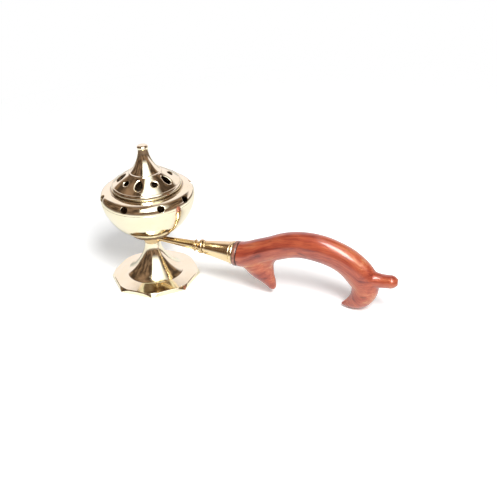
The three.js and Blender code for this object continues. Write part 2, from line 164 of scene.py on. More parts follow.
def mesh_of(name, grids, close_rows=False, close_columns=True, merge=0.0005):
    """One mesh of grids of points, in millimetres from the vessel's axis. Points nearer than merge,
    as at poles and where grids meet, become one, and the faces are then turned outwards."""
    points = []
    faces = []
    count = 0
    for grid in grids:
        rows, columns = grid.shape[:2]
        points.append(grid.reshape(-1, 3))
        faces.append(grid_faces(rows, columns, close_rows, close_columns) + count)
        count += rows * columns
    mesh = bpy.data.meshes.new(name)
    placed = (np.concatenate(points) + [axis_x, 0, 0]) * MM
    mesh.from_pydata(placed, [], np.concatenate(faces), shade_flat=False)
    mesh.validate()
    work = bmesh.new()
    work.from_mesh(mesh)
    bmesh.ops.remove_doubles(work, verts=work.verts, dist=merge * MM)
    bmesh.ops.recalc_face_normals(work, faces=work.faces)
    work.to_mesh(mesh)
    work.free()
    return mesh


def in_scene(name, data):
    """A new object that holds a mesh, a lamp or a camera."""
    made = bpy.data.objects.new(name, data)
    bpy.context.scene.collection.objects.link(made)
    return made


def piece(name, mesh, material, slot, *nodes, body="censer", sharp_degrees=38):
    """An object of one finish that rides on a body and stands for the nodes named."""
    made = in_scene(name, mesh)
    mesh.materials.clear()
    mesh.materials.append(material)
    mesh.shade_smooth()
    mesh.set_sharp_from_angle(angle=math.radians(sharp_degrees))
    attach(made, body)
    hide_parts(*nodes)
    print(name, len(mesh.polygons), "faces")


# %% [markdown]
# A buffing wheel reaches only the outer faces. Behind them the brass stays as it was turned, and
# smoke browns it. A mesh says so with an attribute, inside, which its finish reads. It is worked out
# from the outlines of the polished faces, because a point's distance from them is its depth.

# %% Attributes, and how far inside a turned piece a point lies
POLISH_DEPTH = 0.35
BROWN_DEPTH = 1.1
CREASE_REACH = 1.3
CREASE_SLOPE = 1.5
CREASE_TARNISH_AND_SHADE = 0.8


def places_of(mesh):
    """The mesh's points as an array, in metres."""
    places = np.zeros(len(mesh.vertices) * 3, np.float32)
    mesh.vertices.foreach_get("co", places)
    return places.reshape(-1, 3)


def write_on(mesh, name, values):
    """An attribute with a number, or a vector, for each of the mesh's points."""
    kind, key = ("FLOAT", "value") if values.ndim == 1 else ("FLOAT_VECTOR", "vector")
    layer = mesh.attributes.new(name, kind, "POINT")
    layer.data.foreach_set(key, values.astype(np.float32).ravel())
    return mesh


def mark_inside(mesh, faces, creases=()):
    """Inside rises from 0 at the polish's depth to 1 at the brown's depth behind the nearest polished face,
    each given as an outline. It also rises at a crease where lid and shoulder meet, which is partly tarnish
    where polish can't reach and partly painted shade in the joint."""
    places = places_of(mesh) / MM - [axis_x, 0, 0]
    at = np.column_stack([np.hypot(places[:, 0], places[:, 1]), places[:, 2]])
    depth = np.full(len(at), np.inf)
    for line in faces:
        starts, steps = line[:-1], np.diff(line, axis=0)
        from_start = at[:, None] - starts
        share = np.clip((from_start * steps).sum(-1) / ((steps**2).sum(-1) + 1e-9), 0, 1)
        gap = np.linalg.norm(from_start - share[..., None] * steps, axis=-1)
        depth = np.minimum(depth, gap.min(axis=1))
    inside = np.clip((depth - POLISH_DEPTH) / (BROWN_DEPTH - POLISH_DEPTH), 0, 1)
    # Painted shade, with some tarnish: the brass darkens near the crease where lid and shoulder meet.
    for crease in creases:
        near = 1 - np.linalg.norm(at - crease, axis=1) / CREASE_REACH
        inside = np.maximum(inside, CREASE_TARNISH_AND_SHADE * np.clip(near * CREASE_SLOPE, 0, 1))
    return write_on(mesh, "inside", inside)


print("a point", BROWN_DEPTH, "mm behind the polish counts as inside")

# %% [markdown]
# Some pieces are two turned forms in one: the shank is an upright eye with a level rod, and the
# screw's head has a slot sawn across it. Blender's Boolean modifier joins or cuts them exactly. The
# carved grip is fused and smoothed by modifiers too. What they give is taken as the new mesh, so
# none is left live on a piece.

# %% Finished meshes from modifiers
WEIGHT_LEVELS = 10


def applied(mesh, *modifiers, weights=None):
    """The mesh after a row of modifiers, each given as its kind and its settings. Weights, one for
    each point, are rounded to ten levels, and a modifier can name them as its vertex group."""
    holder = in_scene("holder", mesh)
    if weights is not None:
        group = holder.vertex_groups.new(name="weights")
        for level in range(1, WEIGHT_LEVELS + 1):
            chosen = np.flatnonzero(np.round(weights * WEIGHT_LEVELS) == level)
            group.add(chosen.tolist(), level / WEIGHT_LEVELS, "REPLACE")
    for number, (kind, settings) in enumerate(modifiers):
        modifier = holder.modifiers.new(str(number), kind)
        for key, value in settings.items():
            setattr(modifier, key, value)
    graph = bpy.context.evaluated_depsgraph_get()
    result = bpy.data.meshes.new_from_object(holder.evaluated_get(graph))
    bpy.data.objects.remove(holder)
    return result


def combined(mesh, other, operation):
    """Two closed meshes joined or cut into one."""
    tool = in_scene("tool", other)
    settings = {"operation": operation, "solver": "EXACT", "object": tool}
    result = applied(mesh, ("BOOLEAN", settings))
    bpy.data.objects.remove(tool)
    return result


print("modifier helpers ready")

# %% [markdown]
# Finishes are node trees. Written out node by node they are hard to follow, so the sums in them
# are written as sums: a small class wraps a socket, and each operator adds the Math node that it
# stands for. Every other node comes from one method, add.

# %% A shader written as sums
class Wire:
    """A value that flows in a node tree. Each operator adds one Math node."""

    def __init__(self, shader, socket):
        self.shader = shader
        self.socket = socket

    def __add__(self, other):
        return self.shader.maths("ADD", self, other)

    def __sub__(self, other):
        return self.shader.maths("SUBTRACT", self, other)

    def __rsub__(self, other):
        return self.shader.maths("SUBTRACT", other, self)

    def __mul__(self, other):
        return self.shader.maths("MULTIPLY", self, other)

    def __truediv__(self, other):
        return self.shader.maths("DIVIDE", self, other)

    __radd__ = __add__
    __rmul__ = __mul__

    def over(self, low, high):
        """0 on low's side of the two, 1 on high's side, and a slope between, eased at both ends."""
        settings = {"interpolation_type": "SMOOTHSTEP"}
        return self.shader.add("ShaderNodeMapRange", settings, self, low, high)


class Shader:
    """A material's or the world's node tree, emptied. One method, add, makes any node, and the
    others are short names for what is often made."""

    def __init__(self, owner):
        owner.use_nodes = True
        self.owner = owner
        self.tree = owner.node_tree
        self.tree.nodes.clear()

    def add(self, kind, settings=None, *values, take=0, **named):
        """A node of that kind. Its settings are set first, then its sockets, in order or by name
        with _ for a space. Returns the output socket numbered or named by take."""
        node = self.tree.nodes.new(kind)
        for key, value in (settings or {}).items():
            if key == "stops":
                ramp = node.color_ramp
                while len(ramp.elements) < len(value):
                    ramp.elements.new(1)
                for element, (place, colour) in zip(ramp.elements, value):
                    element.position = place
                    element.color = (*colour, 1)
            else:
                setattr(node, key, value)
        sockets = [socket for socket in node.inputs if socket.enabled]
        pairs = list(zip(sockets, values))
        for key, value in named.items():
            wanted = key.replace("_", " ")
            pairs.append((next(socket for socket in sockets if socket.name == wanted), value))
        for socket, value in pairs:
            if isinstance(value, Wire):
                self.tree.links.new(value.socket, socket)
            else:
                socket.default_value = value
        outputs = [socket for socket in node.outputs if socket.enabled]
        if isinstance(take, str):
            return Wire(self, next(socket for socket in outputs if socket.name == take))
        return Wire(self, outputs[take]) if outputs else node

    def maths(self, operation, *values):
        return self.add("ShaderNodeMath", {"operation": operation}, *values)

    def vector(self, operation, *values, take=0):
        return self.add("ShaderNodeVectorMath", {"operation": operation}, *values, take=take)

    def noise(self, place, scale, detail=3.0, roughness=0.55):
        return self.add(
            "ShaderNodeTexNoise", None, Vector=place, Scale=scale, Detail=detail, Roughness=roughness)

    def blend(self, factor, one, two):
        """The colour one where the factor is 0, and two where it is 1."""
        one, two = [value if isinstance(value, Wire) else (*value, 1) for value in (one, two)]
        return self.add("ShaderNodeMix", {"data_type": "RGBA"}, Factor=factor, A=one, B=two)

    def bump(self, height, strength, distance):
        return self.add("ShaderNodeBump", None, Strength=strength, Distance=distance, Height=height)

    def attribute(self, name, take="Fac"):
        return self.add("ShaderNodeAttribute", {"attribute_name": name}, take=take)

    def rays(self):
        """Two numbers: 1 for a ray from the camera or else 0, and 1 for a mirrored ray or else 0."""
        path = self.add("ShaderNodeLightPath", take="Is Camera Ray")
        return path, Wire(self, path.socket.node.outputs["Is Glossy Ray"])

    def principled(self, **named):
        return self.add("ShaderNodeBsdfPrincipled", None, **named)

    def show(self, surface, kind="Material"):
        """Adds the output, and returns the material or world that the tree belongs to."""
        self.add("ShaderNodeOutput" + kind, None, Surface=surface)
        return self.owner


print("shader helpers ready")

# %% [markdown]
# Cast brass is turned on a lathe and buffed. Close up, the tool has left fine rings, the buffing
# wheel has softened them, and handling has left cloudy marks where the gloss is a little dull.
# The rings follow the piece's own axis, so they come from noise that is read by distance from that axis and
# along it, and is the same all the way round. The colour drifts slowly between a pale and a warmer brass,
# and goes to smoky browns where the mesh's attribute says inside. At the seat between lid and shoulder
# those browns are partly painted shade.

# %% Brass
HANDLE_DROP = math.radians(2.5)
HANDLE_RISE = 3.42
TARNISH = 0.62
TARNISHED_SHARE = 0.35
MARKS = (0.12, 0.00012)
# Soot browns the hollows. At the lid's seat the same browns are partly painted shade.
SOOT_AND_CREASE_SHADE = ((0.34, 0.24, 0.15), (0.2, 0.135, 0.085))
handle_start = np.array([0, 0, neck_height + HANDLE_RISE])
handle_axis = np.array([math.cos(HANDLE_DROP), 0, -math.sin(HANDLE_DROP)])


def brass(name, pale, warm, gloss, origin=(axis_x, 0, 0), axis=(0, 0, 1)):
    """Polished brass whose turning marks ring the axis through an origin, in millimetres. What is
    left of a place after its part along the axis is taken off is its distance out."""
    shader = Shader(bpy.data.materials.new(name))
    place = shader.add("ShaderNodeTexCoord", take="Object")
    from_axis = shader.vector("SUBTRACT", place, tuple(np.array(origin) * MM))
    along = shader.vector("DOT_PRODUCT", from_axis, tuple(axis), take="Value")
    level = shader.vector("SCALE", tuple(axis), along)
    out = shader.vector("LENGTH", shader.vector("SUBTRACT", from_axis, level), take="Value")
    rings_at = shader.add("ShaderNodeCombineXYZ", None, out, along, 0.0)
    coarse = shader.noise(rings_at, 900.0, 2.0)
    fine = shader.noise(rings_at, 4200.0, 3.0, 0.7)
    clouds = shader.noise(place, 55.0, 4.0)
    specks = shader.noise(place, 620.0, 2.0)
    dull = clouds.over(0.5, 0.72)
    spotted = specks.over(0.66, 0.78) * dull
    tone = shader.blend(clouds.over(0.3, 0.75), pale, warm)
    tarnished = shader.blend(spotted * TARNISHED_SHARE, tone, [TARNISH * value for value in warm])
    # Inside is soot in the hollows, and near the lid's seat it is partly painted shade.
    inside = shader.attribute("inside")
    colour = shader.blend(inside, tarnished, shader.blend(clouds, *SOOT_AND_CREASE_SHADE))
    rough = gloss + dull * 0.05 + fine.over(0.45, 0.8) * 0.03 + inside * 0.3
    height = coarse * 0.6 + fine * 0.4 + clouds * 0.5
    return shader.show(shader.principled(
        Base_Color=colour, Metallic=1.0, Roughness=rough, Normal=shader.bump(height, *MARKS)))


polished_brass = brass("polished brass", (0.98, 0.915, 0.7), (0.96, 0.87, 0.62), 0.085)
# The saucer sits under the bowl, and its brass is painted much darker as painted shade.
saucer_brass_with_painted_shade = brass("saucer brass with painted shade", (0.27, 0.185, 0.11), (0.2, 0.135, 0.08), 0.2)
on_rod = {"origin": handle_start + [axis_x, 0, 0], "axis": handle_axis}
handle_brass = brass("golden handle brass", (0.93, 0.76, 0.48), (0.84, 0.65, 0.37), 0.22, **on_rod)
# The shank sits under the saucer and the bowl's rim, and its brass is painted darker as painted shade.
rod_brass_with_painted_shade = brass("rod brass with painted shade", (0.78, 0.6, 0.35), (0.62, 0.45, 0.24), 0.19, **on_rod)
print("four kinds of brass")

# %% [markdown]
# The grip is a reddish hardwood under a thick clear lacquer. Its colour runs in long streaks that follow
# the blank it was carved from. The streaks come from noise that is squeezed along the grain, read from an
# attribute that the grip's mesh carries: how far along, how far across, and how far to the side. The collar
# is a darker wood, turned, with the same lacquer. Its crest is painted lighter as a highlight, and both its
# edges are painted darker as shade.

# %% Lacquered wood
PORE_COLOUR = (0.11, 0.012, 0.006)
PORES = (0.06, 0.0001)
WANDER = 0.008
LACQUER = {"Coat_Weight": 1.0, "Coat_Roughness": 0.05, "Coat_IOR": 1.5}


def wood(name, stops, squeeze, pores):
    """Streaks of the ramp's colours, fine dark pores, and a clear coat over them. Where a mesh has an
    attribute, edge, the tone goes to the ramp's last colour as edge goes from 0 to 1. On the collar this
    paints shade at its edges and leaves its crest lighter as a painted highlight."""
    shader = Shader(bpy.data.materials.new(name))
    at = shader.attribute("grain", "Vector")
    edge = shader.attribute("edge")
    wander = shader.noise(at, 28.0, 2.0)
    drift = shader.add("ShaderNodeCombineXYZ", None, 0.0, wander, wander)
    bent = shader.vector("ADD", at, shader.vector("MULTIPLY", drift, (0.0, WANDER, WANDER)))
    streaks_at = shader.vector("MULTIPLY", bent, squeeze)
    broad = shader.noise(streaks_at, 110.0, 3.0)
    narrow = shader.noise(streaks_at, 520.0, 4.0, 0.65)
    hair = shader.noise(shader.vector("MULTIPLY", bent, (0.07, 1.0, 1.0)), 1500.0, 2.0)
    patches = shader.noise(at, 42.0, 2.0)
    tone = (broad * 0.4 + narrow * 0.32 + patches * 0.28).over(0.34, 0.66)
    # On the collar, edge paints shade towards both faces, and the crest left light is a painted highlight.
    colour = shader.add("ShaderNodeValToRGB", {"stops": stops}, tone + (1 - tone) * edge)
    dark = hair.over(0.56, 0.74) * pores
    flecks = shader.noise(shader.vector("MULTIPLY", at, (0.35, 1.0, 1.0)), 190.0, 1.0).over(0.7, 0.78)
    shaded = shader.blend(shader.maths("MAXIMUM", dark, flecks * 0.75), colour, PORE_COLOUR)
    height = narrow * 0.5 - hair.over(0.6, 0.78) * 0.5
    return shader.show(shader.principled(
        Base_Color=shaded, Roughness=0.34 + narrow * 0.12, Normal=shader.bump(height, *PORES),
        **LACQUER))


grip_stops = [
    (0.0, (0.15, 0.017, 0.009)), (0.2, (0.32, 0.045, 0.02)), (0.5, (0.455, 0.086, 0.035)),
    (0.75, (0.53, 0.138, 0.056)), (1.0, (0.63, 0.28, 0.13))]
# The collar's lightest colour is a painted highlight on its crest, and its darkest is painted shade at its
# edges.
collar_lit_and_shaded_stops = [(0.0, (0.5, 0.24, 0.15)), (0.45, (0.34, 0.13, 0.08)), (1.0, (0.06, 0.014, 0.009))]
grip_wood = wood("red lacquered wood", grip_stops, (0.1, 1.0, 1.0), 0.5)
collar_wood = wood("dark lacquered wood", collar_lit_and_shaded_stops, (1.0, 1.0, 1.0), 0.3)
print("two kinds of wood")

# %% [markdown]
# The screw and washer that clamp the vessel are plated steel. Hardly any of it is seen, down in the
# bowl, but it is paler and greyer than the brass round it.

# %% Plain steel for the clamp inside the bowl
STEEL_TONES = ((0.62, 0.61, 0.58), (0.42, 0.4, 0.37))
BRUSHING = (0.1, 0.00005)


def steel(name):
    """Plated steel with fine brushing and a few dull spots."""
    shader = Shader(bpy.data.materials.new(name))
    place = shader.add("ShaderNodeTexCoord", take="Object")
    brushed = shader.noise(shader.vector("MULTIPLY", place, (1.0, 12.0, 1.0)), 500.0, 3.0)
    clouds = shader.noise(place, 160.0, 3.0)
    colour = shader.blend(clouds, *STEEL_TONES)
    return shader.show(shader.principled(
        Base_Color=colour, Metallic=1.0, Roughness=0.25 + brushed * 0.2,
        Normal=shader.bump(brushed, *BRUSHING)))


clamp_steel = steel("plated steel")
print("steel ready")

# %% [markdown]
# The foot is a bell that flows out to a flange. It was turned first, with its edge rounded off,
# and then sawn to eight flats, so the turned edge is left only at the corners. On the grid, each
# angle has its own outline: the flange stops at the smaller of the turned radius and the flat.

# %% Foot
CORNER_RADIUS = 37.0
CORNER_TURN = math.radians(20.3)
FACES = 8
FACE_STEPS = 30
FLANGE_EDGE = (34.8, 3.5)
PLAIN_EDGE = 0.4
ARRIS = 0.6
BELL_FOOT = (23.5, 5.8)
NECK_RADIUS = 6.4
BORE_RADIUS = 2.8
BORE_START = 19.0
RECESS_RADIUS = 30.5
RECESS_HEIGHT = 1.1


def foot_mesh():
    """The flat at an angle lies at the apothem over the cosine of the angle from its middle. Its
    upper edge is broken by the arris."""
    sector = 2 * math.pi / FACES
    angles = CORNER_TURN + np.arange(FACES * FACE_STEPS) * sector / FACE_STEPS
    from_middle = (angles - CORNER_TURN) % sector - sector / 2
    flat = CORNER_RADIUS * math.cos(sector / 2) / np.cos(from_middle)
    top_radius = np.minimum(FLANGE_EDGE[0], flat - ARRIS)
    top_share = (top_radius - BELL_FOOT[0]) / (FLANGE_EDGE[0] - BELL_FOOT[0])
    top_height = BELL_FOOT[1] + (FLANGE_EDGE[1] - BELL_FOOT[1]) * top_share
    side_radius = np.minimum(CORNER_RADIUS, flat)
    side_share = np.clip((side_radius - FLANGE_EDGE[0]) / (CORNER_RADIUS - FLANGE_EDGE[0]), 0, 1)
    side_height = top_height + (PLAIN_EDGE - FLANGE_EDGE[1]) * side_share - ARRIS * (1 - side_share)
    bell = bezier((NECK_RADIUS, neck_height - 0.3), (6.74, 24.0), (13.92, 10.97), BELL_FOOT, steps=44)
    flange = np.linspace(0.02, 0.97, 14)
    hollow = bezier((23.5, 3.4), (15.1, 8.1), (8.8, 18.7), (3.6, BORE_START))

    def level(radius, height):
        return np.stack([radius + 0 * angles, height + 0 * angles], axis=-1)

    corners = [level(BORE_RADIUS, neck_height), level(NECK_RADIUS, neck_height)]
    corners += [level(*point) for point in bell]
    corners += [
        level(BELL_FOOT[0] + (top_radius - BELL_FOOT[0]) * share,
              BELL_FOOT[1] + (top_height - BELL_FOOT[1]) * share) for share in flange]
    corners += [level(top_radius, top_height), level(side_radius, side_height), level(side_radius, 0)]
    corners += [level(RECESS_RADIUS, 0), level(RECESS_RADIUS, RECESS_HEIGHT)]
    corners += [level(*point) for point in hollow]
    corners += [level(BORE_RADIUS, BORE_START)]
    rounds = np.zeros(len(corners))
    rounds[1] = 0.4
    edge = 2 + len(bell) + len(flange)
    rounds[edge:edge + 5] = [0.35, 0.35, 0.25, 0.3, 0.3]
    return mesh_of("foot", [lathe(rounded(corners, rounds), angles)], close_rows=True)


piece("foot_turned", foot_mesh(), polished_brass, "polished_brass", "foot")

# %% [markdown]
# Saucer and bowl are plain turned forms: closed outlines carried round. The bowl's wall is
# 1.8 mm, a little thicker at its floor, where the clamp screw passes through.

# %% Saucer and bowl
ROUND_STEPS = 240
ROUND = np.arange(ROUND_STEPS) * 2 * math.pi / ROUND_STEPS
SAUCER_RADIUS = 17.5
HUB_RADIUS = 7.0
BOWL_WALL = 1.8
BOWL_BASE = 16.5


def turned(name, profile, closed=True):
    """A mesh of one outline carried round the vessel's axis."""
    return mesh_of(name, [lathe(profile, ROUND)], close_rows=closed)


dish = bezier(
    (HUB_RADIUS + 0.4, saucer_base + 0.15), (SAUCER_RADIUS - 6, saucer_base + 2.9),
    (SAUCER_RADIUS - 0.5, saucer_base + 3.2), (SAUCER_RADIUS - 0.2, saucer_base + 3.7), steps=12)
saucer_line = outline(
    (BORE_RADIUS, saucer_base, 0), (HUB_RADIUS, saucer_base, 0.3), dish,
    (SAUCER_RADIUS, saucer_top - 1.7, 0.3), (SAUCER_RADIUS, saucer_top - 0.3, 0.3),
    (SAUCER_RADIUS - 0.5, saucer_top, 0.2), (BORE_RADIUS, saucer_top, 0))
piece("saucer_turned", turned("saucer", saucer_line), saucer_brass_with_painted_shade, "polished_brass", "saucer")


def bowl_curve(base, start, radius, end):
    """The cup's outline, from its base's radius and height to those of the widest line."""
    rise = end - start
    return bezier(
        (base, start), (base + (radius - base) * 0.52, start + rise * 0.06),
        (radius, start + rise * 0.64), (radius, end), steps=60)


outside = bowl_curve(BOWL_BASE, saucer_top + 0.2, bowl_radius, equator - 0.12)
inside = bowl_curve(BOWL_BASE - BOWL_WALL, bowl_floor, bowl_radius - BOWL_WALL, equator)
bowl_line = outline(
    (BORE_RADIUS, saucer_top, 0), (BOWL_BASE - 0.3, saucer_top, 0.1), outside,
    (bowl_radius - 0.1, equator, 0), inside[::-1], (BORE_RADIUS, bowl_floor, 0))
bowl_mesh = mark_inside(turned("bowl", bowl_line), [outside])
piece("bowl_turned", bowl_mesh, polished_brass, "polished_brass", "bowl")

# %% [markdown]
# Shoulder and lid are pierced. Cutting holes in a fine mesh afterwards would leave ragged
# triangles that show in a mirror finish. Instead, the pierced band is made of cells, one for each
# hole. The rows of a cell run from the hole's edge out to the cell's edge, where they meet the
# neighbours. Near the hole they dip a little, which is the broken edge that a real vent has.

# %% A band of cells with holes
CELL_STEPS = 22
BAND_STEPS = 14
CELL_LEVELS = np.linspace(0, 1, CELL_STEPS, endpoint=False)
RIM_ROWS = 8
HOLE_ROWS = 5
BACK_ROWS = 7
RIM_MOST = 0.7
DIP_CURVE = 1.6


def unit(vectors):
    """Each vector over its own length."""
    return vectors / np.linalg.norm(vectors, axis=1, keepdims=True)


def distance_along(line):
    """The distance along a line of points, from 0 at its first."""
    steps = np.linalg.norm(np.diff(line, axis=0), axis=1)
    return np.concatenate([[0], np.cumsum(steps)])


def along_line(line):
    """A line's own measure: the distance along it at each point, and its outward normal."""
    length = distance_along(line)
    slope = unit(np.gradient(line, length, axis=0))
    return length, np.stack([slope[:, 1], -slope[:, 0]], axis=-1)


def on_band(line, depth, measure, angle):
    """The point at a distance along the line, sunk to a depth under it, at an angle."""
    length, normal = along_line(line)
    radius, height = [
        np.interp(measure, length, line[:, k]) - depth * np.interp(measure, length, normal[:, k])
        for k in (0, 1)]
    return np.stack([radius * np.cos(angle), radius * np.sin(angle), height], axis=-1)


def pierced_cell(line, wall, sides, hole, size, rim, dip, flare=1.0):
    """Rows of one cell, from the outer face in through the hole and out along the inner face. Its
    sides are two angles. The hole is given by its angle and its distance along the line, and its
    size by half its length and half its width. Where the wall bends, a hole that follows it would
    close up inside, so it flares along the line instead."""
    start, end = sides
    hole_angle, hole_at = hole
    half_along, half_across = size
    length, _ = along_line(line)
    radius = np.interp(hole_at, length, line[:, 0])
    total = length[-1]
    climb = np.linspace(0, 1, BAND_STEPS, endpoint=False)
    edge_angle = np.concatenate([
        start + (end - start) * CELL_LEVELS, np.full(BAND_STEPS, end),
        end + (start - end) * CELL_LEVELS, np.full(BAND_STEPS, start)])
    edge_at = np.concatenate([
        np.zeros(CELL_STEPS), total * climb, np.full(CELL_STEPS, total), total * (1 - climb)])
    across = (edge_angle - hole_angle) * radius
    along = edge_at - hole_at
    turn = np.arctan2(along / (total / 2), across / ((end - start) * radius / 2))
    hole_across = half_across * np.cos(turn)
    hole_along = half_along * np.sin(turn)
    gap = np.hypot(across - hole_across, along - hole_along)
    near = np.minimum(rim / gap, RIM_MOST)

    def row(share, depth, widen=1.0):
        edge_along = hole_along * widen
        place_across = hole_across + (across - hole_across) * share
        place_along = edge_along + (along - edge_along) * share
        return on_band(line, depth, hole_at + place_along, hole_angle + place_across / radius)

    rows = [row(near + (1 - near) * share, 0.0) for share in np.linspace(1, 0, RIM_ROWS)]
    rows += [row(near * share, dip * (1 - share) ** DIP_CURVE) for share in np.linspace(0.9, 0, RIM_ROWS)]
    rows += [
        row(0.0, dip + (wall - dip) * share, 1 + (flare - 1) * share)
        for share in np.linspace(0, 1, HOLE_ROWS)[1:]]
    rows += [row(share, wall, flare) for share in np.linspace(0, 1, BACK_ROWS)[1:]]
    return np.array(rows)


def pierced_band(line, wall, turns, hole_at, sizes, **edge):
    """A cell for each hole, with its sides halfway to the next hole on either hand, and the angles
    at which the cells, and so the plain rows beside them, have their points."""
    around = np.concatenate([[turns[-1] - 1], turns, [turns[0] + 1]])
    sides = (around[:-1] + around[1:]) / 2 * 2 * math.pi
    cells = [
        pierced_cell(line, wall, sides[k:k + 2], (turns[k] * 2 * math.pi, hole_at), sizes[k], **edge)
        for k in range(len(turns))]
    return cells, (sides[:-1, None] + np.diff(sides)[:, None] * CELL_LEVELS).ravel()


print("a cell has", 2 * (CELL_STEPS + BAND_STEPS), "points on each row")

# %% [markdown]
# The shoulder stands up from the widest line as a steep wall, turns in tightly, and ends in a nearly
# flat top round the mouth. Its eight vents were marked out by eye, so their spacing is uneven, and
# the cells' edges lie halfway between neighbours. Each vent reaches into the tight turn, so that
# even those at the back show over the top.

# %% Shoulder
SHOULDER_TURNS = np.array([0.108, 0.23, 0.33, 0.426, 0.608, 0.741, 0.869, 0.972])
SHOULDER_STEPS = 90
PIERCED_ROWS = slice(5, 79)
VENT_HEIGHT = 4.6
VENT_RADIUS = 3.0
LIP_RADIUS = 29.4
SEAT_RADIUS = 28.0
MOUTH_RADIUS = 25.8


def shoulder_mesh():
    """The curve from the widest line to the lip, its pierced rows made as cells and the others
    carried round, with the wall's thickness behind it."""
    whole = bezier(
        (bowl_radius, equator + 0.1), (bowl_radius, equator + 5.5), (35.5, lip_height - 1.5),
        (LIP_RADIUS, lip_height - 0.6), steps=SHOULDER_STEPS)
    band = whole[PIERCED_ROWS]
    length, normal = along_line(band)
    inner = band - BOWL_WALL * normal
    vent_at = np.interp(equator + VENT_HEIGHT, band[:, 1], length)
    sizes = [(VENT_RADIUS, VENT_RADIUS)] * len(SHOULDER_TURNS)
    cells, angles = pierced_band(
        band, BOWL_WALL, SHOULDER_TURNS, vent_at, sizes, rim=0.15, dip=0.05, flare=1.2)
    below = outline(
        inner[:1], (bowl_radius - BOWL_WALL, equator + 1.2, 0), (bowl_radius - BOWL_WALL, equator, 0.1),
        (bowl_radius - 0.12, equator, 0), whole[:PIERCED_ROWS.start + 1], closed=False)
    above = outline(
        whole[PIERCED_ROWS.stop - 1:], (LIP_RADIUS - 0.1, lip_height, 0.4),
        (LIP_RADIUS - 1.2, lip_height, 0), (MOUTH_RADIUS, lip_height, 0.35),
        (MOUTH_RADIUS, lip_height - BOWL_WALL, 0.3), inner[-1:], closed=False)
    top = np.array([[LIP_RADIUS, lip_height], [MOUTH_RADIUS + 0.4, lip_height]])
    mesh = mesh_of("shoulder", [lathe(below, angles), lathe(above, angles)] + cells)
    # The shoulder's top is darkened where the lid sits on it: painted shade, with some tarnish.
    return mark_inside(mesh, [whole, top], [(SEAT_RADIUS, lip_height)])


piece("shoulder_pierced", shoulder_mesh(), polished_brass, "polished_brass", "bowl_shoulder")

# %% [markdown]
# The lid is one casting: knob, hollow spire, pierced cone, rolled rim and a spigot that drops into
# the mouth. Long and round vents take turns round the cone, each with a wide sunk edge. Two fine
# raised lines ring the cone, one at its top and one where it meets the rim.

# %% Lid
LID_VENTS = 10
LID_VENT_START = 0.78
LID_VENT_SHARE = 0.545
LONG_VENT = (4.7, 2.95)
ROUND_VENT = (2.5, 2.5)
CONE_BASE = np.array([MOUTH_RADIUS + 0.6, lip_height + 4.15])
CONE_TOP = CONE_BASE + [-13.6, 9.25]
CONE_WALL = 2.1
KNOB_RADIUS = 4.5
KNOB_HEIGHT = 3.6
SPIRE_RADIUS = 4.0
SPIGOT_RADIUS = MOUTH_RADIUS - 0.4
SPIGOT_WALL = 1.4
RIM_SEAT = 26.9


def lid_mesh():
    """The cone's curve, made as cells, with outlines carried round above it, under its base and
    inside the spire."""
    swell = (CONE_BASE + CONE_TOP) / 2 + [0.7, 0.7]
    band = bezier(CONE_BASE + [-0.45, 0.4], swell, CONE_TOP + [0.5, -0.3], steps=40)
    length, normal = along_line(band)
    inner = band - CONE_WALL * normal
    knob = bezier(
        (0, lid_top), (2.5, lid_top), (KNOB_RADIUS, lid_top - 0.72), (KNOB_RADIUS, lid_top - 1.6), steps=14)
    spire_top = lid_top - KNOB_HEIGHT
    under_knob = bezier(
        (KNOB_RADIUS, lid_top - 1.7), (KNOB_RADIUS, lid_top - 3.0), (SPIRE_RADIUS, spire_top), steps=8)
    spire = bezier(
        (SPIRE_RADIUS, spire_top), (4.5, spire_top - 7.9), (8.5, CONE_TOP[1] + 4.4),
        CONE_TOP + [-1.1, 0.85], steps=60)
    upper = outline(
        knob, under_knob, spire[1:], (CONE_TOP[0] - 0.85, CONE_TOP[1] + 0.66, 0.15),
        (CONE_TOP[0] + 0.1, CONE_TOP[1] + 0.52, 0.2), (CONE_TOP[0] + 0.4, CONE_TOP[1] - 0.15, 0.15),
        band[-1:], closed=False)
    bead = bezier(
        CONE_BASE + [0.7, -0.15], CONE_BASE + [1.5, -1.0], CONE_BASE + [1.9, -2.8],
        (CONE_BASE[0] + 0.9, lip_height + 0.1), steps=24)
    lower = outline(
        band[:1], (CONE_BASE[0] - 0.1, CONE_BASE[1] + 0.15, 0.1),
        (CONE_BASE[0] + 0.05, CONE_BASE[1] + 0.25, 0.1), (CONE_BASE[0] + 0.6, CONE_BASE[1] + 0.1, 0.2),
        bead, (SPIGOT_RADIUS, lip_height, 0.1), (SPIGOT_RADIUS, spigot_end, 0.3),
        (SPIGOT_RADIUS - SPIGOT_WALL, spigot_end, 0.3), inner[:1], closed=False)
    under_spire = bezier(
        inner[-1] + [-0.8, 0.5], (SPIRE_RADIUS, CONE_TOP[1] + 1.6), (0, CONE_TOP[1] + 7.8), steps=16)
    hollow = outline(inner[-1:], under_spire, closed=False)
    turns = LID_VENT_START + np.arange(LID_VENTS) / LID_VENTS
    cells, angles = pierced_band(
        band, CONE_WALL, turns, length[-1] * LID_VENT_SHARE, [LONG_VENT, ROUND_VENT] * (LID_VENTS // 2),
        rim=0.95, dip=0.5)
    plain = [lathe(line, angles) for line in (upper, lower, hollow)]
    # The lid's rim is darkened where it sits on the shoulder: painted shade, with some tarnish.
    return mark_inside(mesh_of("lid", plain + cells), [upper, band, bead], [(RIM_SEAT, lip_height)])


piece("lid_pierced", lid_mesh(), polished_brass, "polished_brass", "lid", body="lid")

# %% [markdown]
# Inside the bowl, a slotted screw and its washer clamp bowl, saucer and eye to the foot. Both are
# turned. The slot is cut with a block: an outline carried round in only four steps gives a post one
# millimetre square, which is then stretched.

